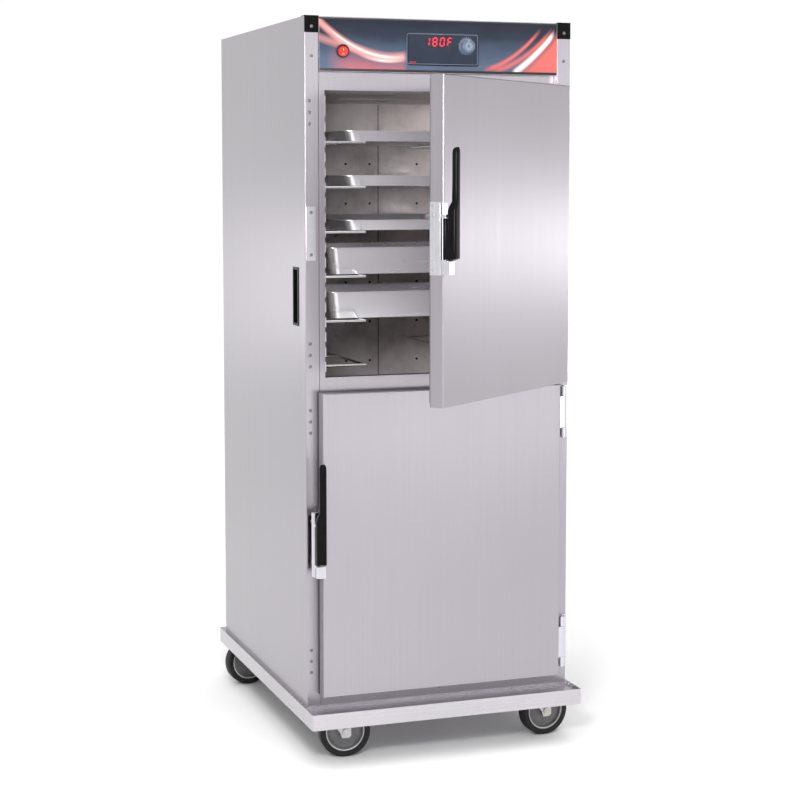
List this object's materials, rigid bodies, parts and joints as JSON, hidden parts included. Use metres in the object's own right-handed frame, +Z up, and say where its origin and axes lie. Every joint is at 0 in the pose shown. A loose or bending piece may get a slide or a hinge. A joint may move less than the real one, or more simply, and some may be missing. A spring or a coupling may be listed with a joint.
{
  "type": "food holding cabinet",
  "caption": "Tall insulated mobile holding cabinet with two half-height doors, wire tray slides, a top control console and swivel casters.",
  "frame": {"origin": "on the floor, under the centre of the insulated body", "axes": "+Z up, the doors face -Y, +X towards the hinge side"},
  "size_m": [0.7114, 1.3161, 1.7785],
  "materials": {
    "brushed_stainless": "satin brushed stainless sheet",
    "liner_stainless": "mill finish stainless liner",
    "insulation": "glass fibre insulation",
    "chromed_wire": "bright plated wire",
    "pan_aluminium": "drawn aluminium tray",
    "pan_stainless": "polished stainless pan",
    "chrome": "polished chrome plate",
    "grip_black": "black moulded composite",
    "gasket_rubber": "black door gasket",
    "overlay": "printed console overlay",
    "display_red": "dark red display window",
    "knob_silver": "silver moulded knob",
    "rocker_red": "translucent red rocker",
    "fastener_steel": "stainless fastener heads",
    "motor_black": "black enamel motor case",
    "fan_aluminium": "pressed aluminium fan",
    "heater_sheath": "heat darkened metal sheath",
    "board_green": "circuit board and components",
    "inlet_black": "black moulded inlet",
    "zinc": "zinc plated steel",
    "caster_tyre": "dark tread on a grey moulded hub"
  },
  "bodies": {
    "cabinet": {"back_panel": "brushed_stainless", "base_frame": "brushed_stainless", "blower_motor": "motor_black", "caster_bolts": "fastener_steel", "caster_plates": "zinc", "console_bezels": "grip_black", "console_overlay": "overlay", "console_panel": "brushed_stainless", "control_board": "board_green", "corner_caps": "grip_black", "corner_posts": "brushed_stainless", "display_window": "display_red", "door_strikes": "chrome", "fan_guard": "liner_stainless", "frame_hinges": "chrome", "front_rails": "brushed_stainless", "heater_element": "heater_sheath", "hinge_pins": "chrome", "insulation_slabs": "insulation", "liner_back": "liner_stainless", "liner_ceiling": "liner_stainless", "liner_floor": "liner_stainless", "liner_sides": "liner_stainless", "panel_screws": "fastener_steel", "power_inlet": "inlet_black", "sheet_pans": "pan_aluminium", "side_grips": "grip_black", "side_panel_left": "brushed_stainless", "side_panel_right": "brushed_stainless", "slide_uprights": "liner_stainless", "steam_pans": "pan_stainless", "temperature_probe": "heater_sheath", "top_panel": "brushed_stainless", "wire_slides_left": "chromed_wire", "wire_slides_right": "chromed_wire"},
    "upper_door": {"upper_door_shell": "brushed_stainless", "upper_door_liner": "liner_stainless", "upper_door_core": "insulation", "upper_door_gasket": "gasket_rubber", "upper_door_hinges": "chrome", "upper_latch_body": "chrome"},
    "upper_handle": {"upper_latch_handle": "grip_black"},
    "lower_door": {"lower_door_shell": "brushed_stainless", "lower_door_liner": "liner_stainless", "lower_door_core": "insulation", "lower_door_gasket": "gasket_rubber", "lower_door_hinges": "chrome", "lower_latch_body": "chrome"},
    "lower_handle": {"lower_latch_handle": "grip_black"},
    "knob": {"control_knob": "knob_silver"},
    "rocker": {"rocker_switch": "rocker_red"},
    "fan": {"fan_wheel": "fan_aluminium"},
    "fork_front_left": {"caster_fork_front_left": "zinc"},
    "wheel_front_left": {"caster_wheel_front_left": "caster_tyre"},
    "fork_front_right": {"caster_fork_front_right": "zinc"},
    "wheel_front_right": {"caster_wheel_front_right": "caster_tyre"},
    "fork_rear_left": {"caster_fork_rear_left": "zinc"},
    "wheel_rear_left": {"caster_wheel_rear_left": "caster_tyre"},
    "fork_rear_right": {"caster_fork_rear_right": "zinc"},
    "wheel_rear_right": {"caster_wheel_rear_right": "caster_tyre"}
  },
  "joints": [
    {"name": "upper_door_hinge", "type": "hinge", "parent": "cabinet", "child": "upper_door", "pos_m": [0.3185, -0.4185, 1.263], "axis": [0, 0, 1], "range_deg": [-39.2, 125.8]},
    {"name": "lower_door_hinge", "type": "hinge", "parent": "cabinet", "child": "lower_door", "pos_m": [0.3185, -0.4185, 0.531], "axis": [0, 0, 1], "range_deg": [0, 165]},
    {"name": "upper_latch_pull", "type": "hinge", "parent": "upper_door", "child": "upper_handle", "pos_m": [-0.16037, -0.85551, 1.271], "axis": [0, 0, -1], "range_deg": [0, 25], "stiffness_Nm_per_rad": 2},
    {"name": "lower_latch_pull", "type": "hinge", "parent": "lower_door", "child": "lower_handle", "pos_m": [-0.3288, -0.4545, 0.539], "axis": [0, 0, -1], "range_deg": [0, 25], "stiffness_Nm_per_rad": 2},
    {"name": "knob_turn", "type": "hinge", "parent": "cabinet", "child": "knob", "pos_m": [0.0645, -0.404, 1.7145], "axis": [0, -1, 0], "range_deg": [-150, 150]},
    {"name": "rocker_tilt", "type": "hinge", "parent": "cabinet", "child": "rocker", "pos_m": [-0.2455, -0.398, 1.6975], "axis": [1, 0, 0], "range_deg": [-16, 0]},
    {"name": "fan_spin", "type": "hinge", "parent": "cabinet", "child": "fan", "pos_m": [0, 0.1565, 1.62], "axis": [0, 0, 1], "continuous": true},
    {"name": "swivel_front_left", "type": "hinge", "parent": "cabinet", "child": "fork_front_left", "pos_m": [-0.2645, -0.367, 0.133], "axis": [0, 0, 1], "continuous": true},
    {"name": "roll_front_left", "type": "hinge", "parent": "fork_front_left", "child": "wheel_front_left", "pos_m": [-0.23661, -0.36944, 0.0625], "axis": [0.0872, 0.9962, 0], "continuous": true},
    {"name": "swivel_front_right", "type": "hinge", "parent": "cabinet", "child": "fork_front_right", "pos_m": [0.2645, -0.367, 0.133], "axis": [0, 0, 1], "continuous": true},
    {"name": "roll_front_right", "type": "hinge", "parent": "fork_front_right", "child": "wheel_front_right", "pos_m": [0.29235, -0.36407, 0.0625], "axis": [-0.1045, 0.9945, 0], "continuous": true},
    {"name": "swivel_rear_left", "type": "hinge", "parent": "cabinet", "child": "fork_rear_left", "pos_m": [-0.2645, 0.3385, 0.133], "axis": [0, 0, 1], "continuous": true},
    {"name": "roll_rear_left", "type": "hinge", "parent": "fork_rear_left", "child": "wheel_rear_left", "pos_m": [-0.29235, 0.33557, 0.0625], "axis": [0.1045, -0.9945, 0], "continuous": true},
    {"name": "swivel_rear_right", "type": "hinge", "parent": "cabinet", "child": "fork_rear_right", "pos_m": [0.2645, 0.3385, 0.133], "axis": [0, 0, 1], "continuous": true},
    {"name": "roll_rear_right", "type": "hinge", "parent": "fork_rear_right", "child": "wheel_rear_right", "pos_m": [0.29223, 0.3424, 0.0625], "axis": [-0.1392, 0.9903, 0], "continuous": true}
  ]
}
